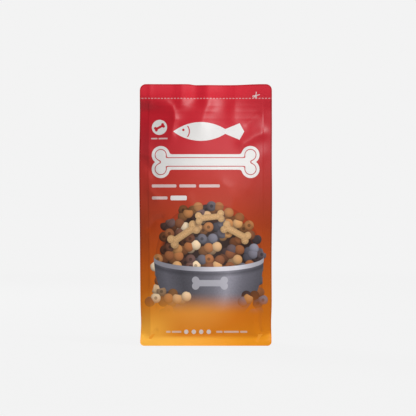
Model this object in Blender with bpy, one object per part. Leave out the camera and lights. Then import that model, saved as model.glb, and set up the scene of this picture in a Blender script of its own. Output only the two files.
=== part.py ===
"""Stand-up film pouch with gusseted sides, filled and heat sealed, as one closed solid.

The front faces -Y, the pouch stands on Z = 0, and everything is in metres. The skin is a
loft through level sections: up to the top seal a section has a fin at each corner and a
folded gusset at each side, and in the top seal it is a thin flat band. A warp then moves
the points back and forth for the folds, so that layers which lie on each other stay apart.
"""

import math
from collections import namedtuple

import bmesh
import bpy

# Overall sizes
PANEL_WIDTH = 0.132
BAG_HEIGHT = 0.260
BASE_DEPTH = 0.060
FILM = 0.0002

# Heat seals
SIDE_SEAL = 0.0085
TOP_SEAL = 0.0143
BOTTOM_SEAL = 0.0115
TOP_CORNER_RADIUS = 0.006
BOTTOM_CORNER_RADIUS = 0.004
BOTTOM_FLARE = 0.0012

# How the contents fill the bag: the panels bulge, which draws their edges in a little. A
# slump under 1 sets the bulge lower, and the slope is that of the panels at the top seal.
FILL_LEVEL = 0.130
PANEL_BULGE = 0.0065
BULGE_FLATNESS = 2.4
BULGE_SLUMP = 0.8
SEAL_SLOPE = 1.2
GUSSET_BULGE = 0.0018
GUSSET_CREASE = 0.0035
DRAW_IN = 0.0010
DRAW_IN_TOP = 0.200
DRAW_IN_REACH = 0.140
WAIST = 0.00065
WAIST_LEVEL = 0.022
WAIST_REACH = 0.013
BASE_ROLL = 0.010

# How the film folds: front and back move as one where the bag is thinner than this. The
# folds set in over a length that starts a little above the top seal's lower edge.
COUPLED_DEPTH = 0.015
FOLD_LEAD = 0.004
FOLD_FADE = 0.018
FIN_SWEEP = 0.0030
SWEEP_FADE = 0.090
SWEEP_START = 0.3
FIN_WAVE = 0.0006
FIN_WAVE_PITCH = 0.085
FIN_WAVE_SHIFT = 0.9
FIN_RIPPLE = 0.5
FIN_RIPPLE_TURNS = 1.7
SEAL_WAVE_FADE = 0.016
SEAL_LEAN = 0.0022
TOP_DIP = 0.0009
DIP_SPAN = (-0.31, 0.97)
DIP_ENDS = (0.008, 0.030)

# How finely the skin is divided, with the panel's columns crowded towards its edges
PANEL_COLUMNS = 30
EDGE_CROWDING = 0.35
FIN_COLUMNS = 2
GUSSET_STATIONS = (0.0, 0.10, 0.22, 0.38, 0.54, 0.70, 0.85, 1.0)
CORNER_STEPS = 3
SEAL_ROWS = 3
UPPER_ROW = 0.0042
LOWER_ROW = 0.0096
WELD = 1e-6

SEAL_START = BAG_HEIGHT - TOP_SEAL
BAND = 2 * FILM

# A fold runs through points given as (share of the inner half width, metres below the top
# seal). It stands out by rise, negative for a dent, and fades over reach to either side, or
# over far on the right of its line as it runs. A crest of 2 is round, and a lower one sharper.
Fold = namedtuple("Fold", "points reach rise crest far", defaults=(2.0, None))
FRONT_FOLDS = (
    Fold(
        ((-0.66, 0.0040), (-0.585, 0.0075), (-0.550, 0.0130), (-0.540, 0.0210), (-0.575, 0.0356)),
        0.0028, 0.0028, 1.35, 0.0120,
    ),
    Fold(((-1.14, 0.0080), (-1.14, 0.0500)), 0.0290, -0.0064),
    Fold(((-0.44, 0.000), (-0.46, 0.010), (-0.49, 0.021)), 0.0060, 0.0011, 1.6, 0.0045),
    Fold(((0.06, -0.002), (-0.01, 0.010), (-0.08, 0.026)), 0.0075, 0.0032, 1.5, 0.0220),
    Fold(((0.36, 0.000), (0.30, 0.009)), 0.0070, -0.0006),
    Fold(((-1.14, 0.055), (-0.98, 0.058)), 0.0040, 0.0009, 1.8),
    Fold(((0.48, 0.002), (0.47, 0.022)), 0.0055, 0.0008, 1.8),
    Fold(((0.72, 0.026), (0.90, 0.017)), 0.0034, -0.0007, 2.0, 0.0048),
    Fold(((0.96, 0.0360), (0.84, 0.0385), (0.66, 0.0455)), 0.0048, 0.0028, 1.7, 0.0062),
    Fold(((0.97, 0.058), (0.82, 0.072), (0.72, 0.090)), 0.0060, 0.0008, 1.8, 0.0085),
    Fold(((-0.97, 0.052), (-0.86, 0.058), (-0.74, 0.056)), 0.0035, 0.0010, 1.6, 0.0055),
    Fold(((-0.97, 0.070), (-0.88, 0.078)), 0.0040, -0.0012),
    Fold(((0.30, 0.086), (0.40, 0.090), (0.46, 0.100), (0.44, 0.114)), 0.0060, 0.0012, 1.6, 0.0085),
    Fold(((-0.97, 0.129), (-0.88, 0.122), (-0.78, 0.120)), 0.0040, -0.0012, 1.6),
    Fold(((0.96, 0.140), (0.88, 0.150), (0.90, 0.165)), 0.0045, 0.0008, 1.6),
    Fold(((0.92, 0.206), (0.94, 0.230)), 0.0040, -0.0011, 1.8),
)
BACK_FOLDS = (
    Fold(((0.62, 0.001), (0.50, 0.020)), 0.0046, 0.0014, 1.4, 0.0090),
    Fold(((0.84, 0.008), (0.76, 0.024)), 0.0085, -0.0016),
    Fold(((0.05, 0.000), (-0.08, 0.024)), 0.0065, 0.0018, 1.5),
    Fold(((-0.40, 0.001), (-0.36, 0.020)), 0.0050, -0.0014),
    Fold(((-0.60, 0.004), (-0.52, 0.026)), 0.0043, 0.0013, 1.4, 0.0080),
    Fold(((-0.95, 0.030), (-0.70, 0.046)), 0.0043, 0.0014, 1.4),
    Fold(((0.96, 0.050), (0.80, 0.062)), 0.0043, 0.0012, 1.4),
    Fold(((-0.30, 0.110), (-0.42, 0.128)), 0.0045, -0.0011),
    Fold(((0.40, 0.096), (0.48, 0.118)), 0.0045, 0.0010, 1.5),
)

# The top seal waves as one band: (share of the inner half width, reach, rise).
SEAL_WAVES = (
    (-0.97, 0.0026, 0.0005),
    (-0.42, 0.0060, 0.0018),
    (-0.18, 0.0060, -0.0014),
    (0.03, 0.0056, 0.0014),
    (0.32, 0.0085, -0.0011),
    (0.72, 0.0250, -0.0007),
    (-1.15, 0.0300, 0.0018),
    (1.15, 0.0260, 0.0018),
)


def clamp(value):
    return min(max(value, 0.0), 1.0)


def bell(offset, reach):
    return math.exp(-((offset / reach) ** 2))


def smooth(value):
    value = clamp(value)
    return value * value * (3.0 - 2.0 * value)


def half_panel(z):
    """Half the panel's width at a height, before its corners are rounded."""
    drawn = DRAW_IN * smooth((DRAW_IN_TOP - z) / DRAW_IN_REACH)
    return PANEL_WIDTH / 2 - drawn - WAIST * bell(z - WAIST_LEVEL, WAIST_REACH)


def fin_root(z):
    """Distance from the middle to the inner edge of the side seals."""
    return half_panel(z) - SIDE_SEAL


def fin_edge(z):
    """Distance from the middle to the outer edge, with the corners rounded."""
    above = z - (BAG_HEIGHT - TOP_CORNER_RADIUS)
    below = BOTTOM_CORNER_RADIUS - z
    if above > 0.0:
        cut = TOP_CORNER_RADIUS - math.sqrt(max(TOP_CORNER_RADIUS**2 - above**2, 0.0))
    elif below > 0.0:
        cut = BOTTOM_CORNER_RADIUS - math.sqrt(max(BOTTOM_CORNER_RADIUS**2 - below**2, 0.0))
    else:
        cut = 0.0
    return half_panel(z) - cut


def half_depth(z):
    """Distance from the middle of the bag to the plane of its side seals."""
    full = BASE_DEPTH / 2
    if z < BOTTOM_SEAL:
        return full + BOTTOM_FLARE * (1.0 - z / BOTTOM_SEAL)
    rise = clamp((z - FILL_LEVEL) / (SEAL_START - FILL_LEVEL))
    share = 1.0 + rise**2 * ((2.0 - SEAL_SLOPE) * rise - (3.0 - SEAL_SLOPE))
    return BAND + (full - BAND) * share


def coupling(z):
    """How far front and back move as one: 1 in the top seal, 0 where the bag is deep."""
    return clamp(1.0 - (half_depth(z) - BAND) / COUPLED_DEPTH)


def gusset_depth(z):
    """How far the crease of a side gusset lies in from the side seals."""
    ramp = smooth((z - BOTTOM_SEAL) / (FILL_LEVEL / 2))
    slack = max((BASE_DEPTH / 2) ** 2 - half_depth(z) ** 2, 0.0)
    return math.sqrt((GUSSET_CREASE * ramp) ** 2 + slack)


def bulge(x, z):
    """How far the contents push a panel out past the side seals."""
    height = clamp((z - BOTTOM_SEAL) / (SEAL_START - BOTTOM_SEAL))
    across = clamp(abs(x) / fin_root(z))
    swell = PANEL_BULGE * math.sin(math.pi * height**BULGE_SLUMP)
    return swell * (1.0 - across**BULGE_FLATNESS)


def panel_depth(x, z):
    """Distance from the middle plane to a panel's outer face, before the folds."""
    gusset_edge = fin_root(z) - BASE_DEPTH / 2
    missing = 1.0 - smooth((abs(x) - gusset_edge) / BAND)
    return half_depth(z) + bulge(x, z) - FILM * missing * coupling(z)


def nearest(x, z, points):
    """Distance from a point of a panel to a fold's line, and the side: 1 left, -1 right."""
    gap, side = math.inf, 0.0
    for (ax, az), (bx, bz) in zip(points, points[1:]):
        run_x, run_z = bx - ax, bz - az
        length = math.hypot(run_x, run_z)
        share = clamp(((x - ax) * run_x + (z - az) * run_z) / length**2)
        off_x, off_z = x - ax - share * run_x, z - az - share * run_z
        here = max(math.hypot(off_x, off_z), WELD)
        if here < gap:
            gap = here
            side = (run_x * off_z - run_z * off_x) / (length * here)
    return gap, side


def relief(x, z, folds):
    """How far a panel's folds stand out at one of its points."""
    root = fin_root(z)
    total = 0.0
    for fold in folds:
        line = [(across * root, SEAL_START - drop) for across, drop in fold.points]
        gap, side = nearest(x, z, line)
        far = fold.far or fold.reach
        reach = far + (fold.reach - far) * (1.0 + side) / 2
        total += fold.rise * math.exp(-((gap / reach) ** fold.crest))
    below_seal = smooth((SEAL_START + FOLD_LEAD - z) / FOLD_FADE)
    return total * smooth(z / BOTTOM_CORNER_RADIUS) * below_seal


def seal_wave(x, z):
    fade = smooth(1.0 - (SEAL_START - z) / SEAL_WAVE_FADE)
    root = fin_root(z)
    waves = sum(rise * bell(x - across * root, reach) for across, reach, rise in SEAL_WAVES)
    return fade * waves


def fin_wave(x, z):
    """The loose fins sway a little in and out along their length."""
    out = max(abs(x) - fin_root(z), 0.0) / SIDE_SEAL
    turn = 2.0 * math.pi * z / FIN_WAVE_PITCH + (FIN_WAVE_SHIFT if x > 0.0 else 0.0)
    ends = smooth(z / BOTTOM_SEAL - 1.0) * smooth((SEAL_START - z) / TOP_SEAL)
    sway = math.sin(turn) + FIN_RIPPLE * math.sin(FIN_RIPPLE_TURNS * turn)
    return FIN_WAVE * out * ends * sway


def fin_turn(x, y, z):
    """How far the fins sweep back towards the middle of the bag's side."""
    out = max(abs(x) - fin_root(z), 0.0) / SIDE_SEAL
    ends = smooth(z / BOTTOM_SEAL - SWEEP_START) * smooth((SEAL_START - z) / SWEEP_FADE)
    return -math.copysign(FIN_SWEEP * out * ends, y)


def lean(z):
    """How far the top seal leans back."""
    return 2.0 * SEAL_LEAN * smooth((z - SEAL_START) / (2.0 * TOP_SEAL))


def dip(x, z):
    """How far the middle of the top edge sags below its ends."""
    low, high = (across * fin_root(z) for across in DIP_SPAN)
    start, end = DIP_ENDS
    inside = smooth((x - low) / start) * smooth((high - x) / end)
    return TOP_DIP * inside * smooth((z - SEAL_START) / TOP_SEAL)


def warped(x, y, z):
    """A point of the skin with the folds and waves of the film put in."""
    depth = half_depth(z)
    joined = coupling(z)
    front_share = clamp(0.5 - y / (2.0 * depth))
    front = joined + (1.0 - joined) * front_share
    back = (1.0 - joined) * (1.0 - front_share)
    move = relief(x, z, FRONT_FOLDS) * front - relief(x, z, BACK_FOLDS) * back
    move += seal_wave(x, z) + fin_wave(x, z)
    return (x, y - move + fin_turn(x, y, z) + lean(z), z - dip(x, z))


def panel_columns(z):
    """Where the panel's upright lines stand at a height, from left to right."""
    root, edge = fin_root(z), fin_edge(z)
    fin = [root + (edge - root) * i / FIN_COLUMNS for i in range(1, FIN_COLUMNS + 1)]
    inner = []
    for i in range(PANEL_COLUMNS + 1):
        place = 2.0 * i / PANEL_COLUMNS - 1.0
        crowded = math.sin(math.pi / 2 * place)
        inner.append(root * (place + EDGE_CROWDING * (crowded - place)))
    return [-x for x in reversed(fin)] + inner + fin


def side_points(z):
    """The right side of a section: inner face of the front fin, gusset, back fin."""
    root, edge, inside = fin_root(z), fin_edge(z), half_depth(z) - BAND
    deep = gusset_depth(z)
    length = math.hypot(deep, inside)
    swell = GUSSET_BULGE * (inside / (BASE_DEPTH / 2)) ** 2
    swell *= smooth((z - BOTTOM_SEAL) / BOTTOM_SEAL)
    half = [(edge - (edge - root) * i / FIN_COLUMNS, -inside) for i in range(FIN_COLUMNS)]
    for share in GUSSET_STATIONS:
        out = swell * math.sin(math.pi * share) / length
        half.append((root - deep * share + out * inside, inside * (share - 1.0) + out * deep))
    return half + [(x, -y) for x, y in reversed(half[:-1])]


def open_section(z):
    """A section under the top seal, round from the left end of the front panel."""
    columns = panel_columns(z)
    right = side_points(z)
    ring = [(x, -panel_depth(x, z)) for x in columns]
    ring += right
    ring += [(x, panel_depth(x, z)) for x in reversed(columns)]
    ring += [(-x, y) for x, y in reversed(right)]
    return [warped(x, y, z) for x, y in ring]


def sealed_section(z):
    """A section of the top seal, with one point halfway through each end."""
    columns = panel_columns(z)
    edge = fin_edge(z)
    ring = [(x, -panel_depth(x, z)) for x in columns]
    ring.append((edge, 0.0))
    ring += [(x, panel_depth(x, z)) for x in reversed(columns)]
    ring.append((-edge, 0.0))
    return [warped(x, y, z) for x, y in ring]


def evenly(low, high, step):
    """Heights from low to high, both included, about a step apart."""
    count = max(round((high - low) / step), 1)
    return [low + (high - low) * i / count for i in range(count + 1)]


def arc_heights(radius):
    """Heights of a rounded corner's points above its start."""
    return [radius * math.sin(math.pi / 2 * i / CORNER_STEPS) for i in range(CORNER_STEPS + 1)]


def open_heights():
    corner = [BOTTOM_CORNER_RADIUS - h for h in reversed(arc_heights(BOTTOM_CORNER_RADIUS))]
    fins = evenly(BOTTOM_CORNER_RADIUS, BOTTOM_SEAL, UPPER_ROW)
    start = evenly(BOTTOM_SEAL, 2 * BOTTOM_SEAL, UPPER_ROW)
    filled = evenly(2 * BOTTOM_SEAL, FILL_LEVEL, LOWER_ROW)
    middle = (FILL_LEVEL + SEAL_START) / 2
    tapered = evenly(FILL_LEVEL, middle, (LOWER_ROW + UPPER_ROW) / 2)
    folded = evenly(middle, SEAL_START, UPPER_ROW)
    return corner + fins[1:] + start[1:] + filled[1:] + tapered[1:] + folded[1:]


def sealed_heights():
    start = BAG_HEIGHT - TOP_CORNER_RADIUS
    straight = [SEAL_START + (start - SEAL_START) * i / SEAL_ROWS for i in range(SEAL_ROWS)]
    return straight + [start + h for h in arc_heights(TOP_CORNER_RADIUS)]


def base_height(x, y, half_x, half_y):
    """The base film rolls down from its seal to lie flat on what the pouch stands on."""
    wall = min(half_x - abs(x), half_y - abs(y))
    ahead = clamp(1.0 - wall / BASE_ROLL)
    return BOTTOM_SEAL * (1.0 - math.sqrt(1.0 - ahead**2))


def add_ring(mesh, points):
    return [mesh.verts.new(point) for point in points]


def bridge(mesh, lower, upper):
    """Joins two closed rings of as many points with a band of faces."""
    count = len(lower)
    for i in range(count):
        j = (i + 1) % count
        mesh.faces.new((lower[i], lower[j], upper[j], upper[i]))


def close_top(mesh, ring):
    """The cut edge along the top of the upper seal."""
    count = len(ring) // 2
    front, right = ring[: count - 1], ring[count - 1]
    back, left = ring[count:-1][::-1], ring[-1]
    mesh.faces.new((left, front[0], front[1], back[1], back[0]))
    for i in range(1, count - 3):
        mesh.faces.new((front[i], front[i + 1], back[i + 1], back[i]))
    mesh.faces.new((front[-2], front[-1], right, back[-1], back[-2]))


def base_patch(mesh):
    """The base film as rows of points, from the front row to the back row."""
    inside_x = fin_root(0.0) - BAND
    inside_y = half_depth(BOTTOM_SEAL) - BAND
    columns = panel_columns(0.0)[FIN_COLUMNS:-FIN_COLUMNS]
    across = [x * inside_x / fin_root(0.0) for x in columns]
    halves = [inside_y * (share - 1.0) for share in GUSSET_STATIONS]
    deep = halves + [-y for y in reversed(halves[:-1])]
    rows = []
    for y in deep:
        heights = [base_height(x, y, inside_x, inside_y) for x in across]
        rows.append([mesh.verts.new((x, y, z)) for x, z in zip(across, heights)])
    for front, back in zip(rows, rows[1:]):
        for i in range(len(across) - 1):
            mesh.faces.new((front[i], back[i], back[i + 1], front[i + 1]))
    return rows


def border(rows):
    """The outer ring of a patch, round from the left end of its front row."""
    right = [row[-1] for row in rows[1:-1]]
    left = [row[0] for row in rows[1:-1]]
    return rows[0] + right + rows[-1][::-1] + left[::-1]


def close_bottom(mesh, ring):
    """The base film, the inner walls of the bottom fins, and the fins' lower cut edges."""
    seam = border(base_patch(mesh))
    flare = (half_depth(0.0) - BAND) / (half_depth(BOTTOM_SEAL) - BAND)
    wall = add_ring(mesh, [(v.co.x, v.co.y * flare, 0.0) for v in seam])
    bridge(mesh, seam, wall)
    panel = PANEL_COLUMNS + 2 * FIN_COLUMNS + 1
    side = 2 * (FIN_COLUMNS + len(GUSSET_STATIONS)) - 1
    sides = []
    taken = 0
    for size in (panel, side, panel, side):
        sides.append(ring[taken : taken + size])
        taken += size
    start = 0
    for outer, following in zip(sides, sides[1:] + sides[:1]):
        kept = outer[FIN_COLUMNS:-FIN_COLUMNS]
        for i in range(len(kept) - 1):
            here, ahead = start + i, (start + i + 1) % len(wall)
            mesh.faces.new((kept[i], wall[here], wall[ahead], kept[i + 1]))
        start = (start + len(kept) - 1) % len(wall)
        mesh.faces.new((kept[-1], wall[start], following[FIN_COLUMNS]))
        face = outer[-FIN_COLUMNS - 1 :]
        rear = following[: FIN_COLUMNS + 1][::-1]
        for i in range(FIN_COLUMNS):
            mesh.faces.new((face[i], rear[i], rear[i + 1], face[i + 1]))


def make_pouch(collection):
    mesh = bmesh.new()
    open_rings = [add_ring(mesh, open_section(z)) for z in open_heights()]
    for lower, upper in zip(open_rings, open_rings[1:]):
        bridge(mesh, lower, upper)
    sealed_rings = [add_ring(mesh, sealed_section(z)) for z in sealed_heights()]
    for lower, upper in zip(sealed_rings, sealed_rings[1:]):
        bridge(mesh, lower, upper)
    close_top(mesh, sealed_rings[-1])
    close_bottom(mesh, open_rings[0])
    bmesh.ops.remove_doubles(mesh, verts=mesh.verts, dist=WELD)
    bmesh.ops.recalc_face_normals(mesh, faces=mesh.faces)
    data = bpy.data.meshes.new("pouch")
    mesh.to_mesh(data)
    mesh.free()
    data.shade_smooth()
    data.set_sharp_from_angle(angle=math.radians(50.0))
    pouch = bpy.data.objects.new("pouch", data)
    collection.objects.link(pouch)
    return pouch


def printed_film():
    """Soft-touch laminate film, printed crimson."""
    material = bpy.data.materials.new("printed_film")
    material.use_nodes = True
    shader = material.node_tree.nodes["Principled BSDF"]
    shader.inputs["Base Color"].default_value = (0.52, 0.04, 0.05, 1.0)
    shader.inputs["Roughness"].default_value = 0.5
    shader.inputs["Metallic"].default_value = 0.0
    return material


def main():
    for old in list(bpy.data.objects):
        bpy.data.objects.remove(old, do_unlink=True)
    collection = bpy.data.collections.new("stand_up_pouch")
    bpy.context.scene.collection.children.link(collection)
    pouch = make_pouch(collection)
    pouch.data.materials.append(printed_film())


main()
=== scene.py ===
"""Looks of a filled stand-up film pouch: its folded skin, its print and the studio round it.

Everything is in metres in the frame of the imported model, +Z up with the front towards -Y.
The print is laid out in millimetres on each panel, measured up from the floor and out from
the panel's middle.
"""

import logging
import math
from collections.abc import Callable
from dataclasses import dataclass
from enum import IntEnum
from functools import partial, reduce

import bmesh
import bpy
import numpy as np
from mathutils import Matrix, Vector


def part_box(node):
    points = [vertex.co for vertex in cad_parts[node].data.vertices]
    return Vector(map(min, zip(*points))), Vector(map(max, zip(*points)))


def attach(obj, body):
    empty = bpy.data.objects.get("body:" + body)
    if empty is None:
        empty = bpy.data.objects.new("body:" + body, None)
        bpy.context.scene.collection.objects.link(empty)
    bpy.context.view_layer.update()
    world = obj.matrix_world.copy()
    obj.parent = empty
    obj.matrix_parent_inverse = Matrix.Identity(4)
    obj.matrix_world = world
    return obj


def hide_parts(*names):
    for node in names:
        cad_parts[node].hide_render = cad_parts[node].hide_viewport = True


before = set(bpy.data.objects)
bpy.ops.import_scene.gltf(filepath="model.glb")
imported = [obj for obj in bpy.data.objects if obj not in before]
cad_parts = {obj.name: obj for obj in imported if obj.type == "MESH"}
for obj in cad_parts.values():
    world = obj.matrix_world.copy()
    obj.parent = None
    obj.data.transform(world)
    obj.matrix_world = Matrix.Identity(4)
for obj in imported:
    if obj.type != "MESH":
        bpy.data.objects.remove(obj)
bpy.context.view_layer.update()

NODE = "pouch"
PIECE = "pouch_film"
MM = 0.001
SIDES = (-1.0, 1.0)

Array = np.ndarray
Place = Callable[[Array, Array], Array]

log = logging.getLogger("pouch")


def smooth(value: Array | float) -> Array:
    """An eased step from 0 to 1."""
    value = np.clip(value, 0.0, 1.0)
    return value * value * (3.0 - 2.0 * value)


def bell(offset: Array | float, reach: float) -> Array:
    """A round bump that is 1 in its middle."""
    return np.exp(-((offset / reach) ** 2))


def spaced(low: float, high: float, step: float) -> list[float]:
    """Values from low up to but without high, about a step apart."""
    count = max(round((high - low) / step), 1)
    return [low + (high - low) * i / count for i in range(count)]


class Finish(IntEnum):
    """Which of the film's finishes a sheet of the skin takes."""

    FRONT = 0
    BACK = 1
    GUSSET = 2
    BASE = 3
    CUT_EDGE = 4


@dataclass(frozen=True)
class Fold:
    """A fold or dent in a panel.

    The line runs through points given as the share of the panel's inner half width and the
    distance below the top seal. The fold fades over reach, or over far on the right-hand side
    of the line as it runs. A crest of 2 is round, and a lower one sharper.
    """

    line: tuple[tuple[float, float], ...]
    reach: float
    rise: float
    crest: float = 2.0
    far: float | None = None


@dataclass(frozen=True)
class Wave:
    """A wave of the flat top seal, as a share of the inner half width, a reach and a rise."""

    across: float
    reach: float
    rise: float


@dataclass(frozen=True)
class PouchSizes:
    """The sizes that the pouch's shape is worked out from.

    A pair for the fins holds the right one's first. A sway is a height, a reach and a shift.
    """

    width: float
    height: float
    base_depth: float = 0.060
    film: float = 0.0002
    side_seal: float = 0.0085
    top_seal: float = 0.0143
    bottom_seal: float = 0.0115
    top_corner: float = 0.006
    bottom_corner: float = 0.004
    bottom_flare: float = 0.0012
    flare_height: float = 0.0068
    fill_level: float = 0.130
    panel_bulge: float = 0.0065
    bulge_flatness: float = 2.4
    bulge_slump: float = 0.8
    seal_slope: float = 1.2
    gusset_bulge: float = 0.0018
    gusset_crease: float = 0.0035
    draw_in: float = 0.0010
    draw_in_top: float = 0.200
    draw_in_reach: float = 0.140
    waist: float = 0.00065
    waist_level: float = 0.022
    waist_reach: float = 0.013
    base_roll: float = 0.010
    coupled_depth: float = 0.015
    fin_sweep: float = 0.0030
    sweep_fade: tuple[float, float] = (0.090, 0.028)
    seal_lean: float = 0.0022
    root_step: float = 0.00035
    root_reach: float = 0.0008
    fold_lead: float = 0.004
    fold_fade: float = 0.018
    fin_wave: float = 0.0006
    fin_wave_pitch: float = 0.085
    fin_wave_turn: tuple[float, float] = (10.6, 9.7)
    seal_wave_fade: float = 0.016
    sways: tuple[tuple[float, float, float], ...] = (
        (0.184, 0.030, -0.0004), (0.030, 0.034, 0.0003),
    )
    strip_drops: tuple[float, ...] = (0.0075, 0.0135, 0.0205)
    strip_reach: float = 0.0011
    strip_rise: float = 0.00014
    top_dip: float = 0.0009
    dip_span: tuple[float, float] = (-0.31, 0.97)
    dip_ends: tuple[float, float] = (0.008, 0.030)

    @classmethod
    def from_frame(cls) -> "PouchSizes":
        """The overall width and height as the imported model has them."""
        low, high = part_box(NODE)
        return cls(width=high[0] - low[0], height=high[2] - low[2])

    @property
    def seal_start(self) -> float:
        """Height of the top seal's lower edge."""
        return self.height - self.top_seal

    @property
    def band(self) -> float:
        """Thickness of two layers of film."""
        return 2.0 * self.film


FRONT_FOLDS = (
    Fold(
        ((-0.66, 0.0040), (-0.585, 0.0075), (-0.550, 0.0130), (-0.540, 0.0210), (-0.575, 0.0356)),
        0.0029, 0.0025, 1.35, 0.0120,
    ),
    Fold(((-1.18, 0.0210), (-1.16, 0.0520)), 0.0300, -0.0070),
    Fold(((-0.44, 0.000), (-0.46, 0.010), (-0.49, 0.021)), 0.0060, 0.0011, 1.6, 0.0045),
    Fold(((0.06, -0.002), (-0.01, 0.010), (-0.08, 0.026)), 0.0075, 0.0032, 1.5, 0.0220),
    Fold(((0.36, 0.000), (0.30, 0.009)), 0.0070, -0.0006),
    Fold(((-1.14, 0.055), (-0.98, 0.058)), 0.0040, 0.0009, 1.8),
    Fold(((0.48, 0.002), (0.47, 0.022)), 0.0055, 0.0008, 1.8),
    Fold(((0.72, 0.026), (0.90, 0.017)), 0.0034, -0.0007, 2.0, 0.0048),
    Fold(((0.96, 0.0360), (0.84, 0.0385), (0.66, 0.0455)), 0.0054, 0.0026, 1.8, 0.0068),
    Fold(((0.97, 0.058), (0.82, 0.072), (0.72, 0.090)), 0.0060, 0.0008, 1.8, 0.0085),
    Fold(((-0.97, 0.052), (-0.86, 0.058), (-0.74, 0.056)), 0.0035, 0.0010, 1.6, 0.0055),
    Fold(((-0.97, 0.070), (-0.88, 0.078)), 0.0040, -0.0012),
    Fold(((-0.96, 0.092), (-0.84, 0.100)), 0.0040, 0.0009, 1.6),
    Fold(((0.30, 0.086), (0.40, 0.090), (0.46, 0.100), (0.44, 0.114)), 0.0060, 0.0012, 1.6, 0.0085),
    Fold(((-0.97, 0.129), (-0.88, 0.122), (-0.78, 0.120)), 0.0034, -0.0012, 1.6),
    Fold(((-0.30, 0.100), (-0.20, 0.112), (-0.18, 0.128)), 0.0055, 0.0008),
    Fold(((0.96, 0.140), (0.88, 0.150), (0.90, 0.165)), 0.0045, 0.0008, 1.6),
    Fold(((-0.95, 0.180), (-0.86, 0.192)), 0.0045, 0.0007, 1.6),
    Fold(((-0.97, 0.238), (-0.88, 0.231)), 0.0018, -0.0007, 1.6),
    Fold(((0.91, 0.239), (0.98, 0.232)), 0.0018, -0.0007, 1.6),
    Fold(((0.92, 0.206), (0.94, 0.230)), 0.0034, -0.0011, 1.8),
)
BACK_FOLDS = (
    Fold(((0.62, 0.001), (0.50, 0.020)), 0.0046, 0.0014, 1.4, 0.0090),
    Fold(((0.84, 0.008), (0.76, 0.024)), 0.0085, -0.0016),
    Fold(((0.05, 0.000), (-0.08, 0.024)), 0.0065, 0.0018, 1.5),
    Fold(((-0.40, 0.001), (-0.36, 0.020)), 0.0050, -0.0014),
    Fold(((-0.60, 0.004), (-0.52, 0.026)), 0.0043, 0.0013, 1.4, 0.0080),
    Fold(((-0.95, 0.030), (-0.70, 0.046)), 0.0043, 0.0014, 1.4),
    Fold(((0.96, 0.050), (0.80, 0.062)), 0.0043, 0.0012, 1.4),
    Fold(((-0.30, 0.110), (-0.42, 0.128)), 0.0040, -0.0011),
    Fold(((0.40, 0.096), (0.48, 0.118)), 0.0045, 0.0010, 1.5),
)
SEAL_WAVES = (
    Wave(-0.97, 0.0026, 0.0005),
    Wave(-0.42, 0.0060, 0.0018),
    Wave(-0.18, 0.0060, -0.0014),
    Wave(0.03, 0.0056, 0.0014),
    Wave(0.32, 0.0085, -0.0011),
    Wave(0.72, 0.0250, -0.0007),
    Wave(-1.15, 0.0300, 0.0018),
    Wave(1.15, 0.0260, 0.0022),
)


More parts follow.
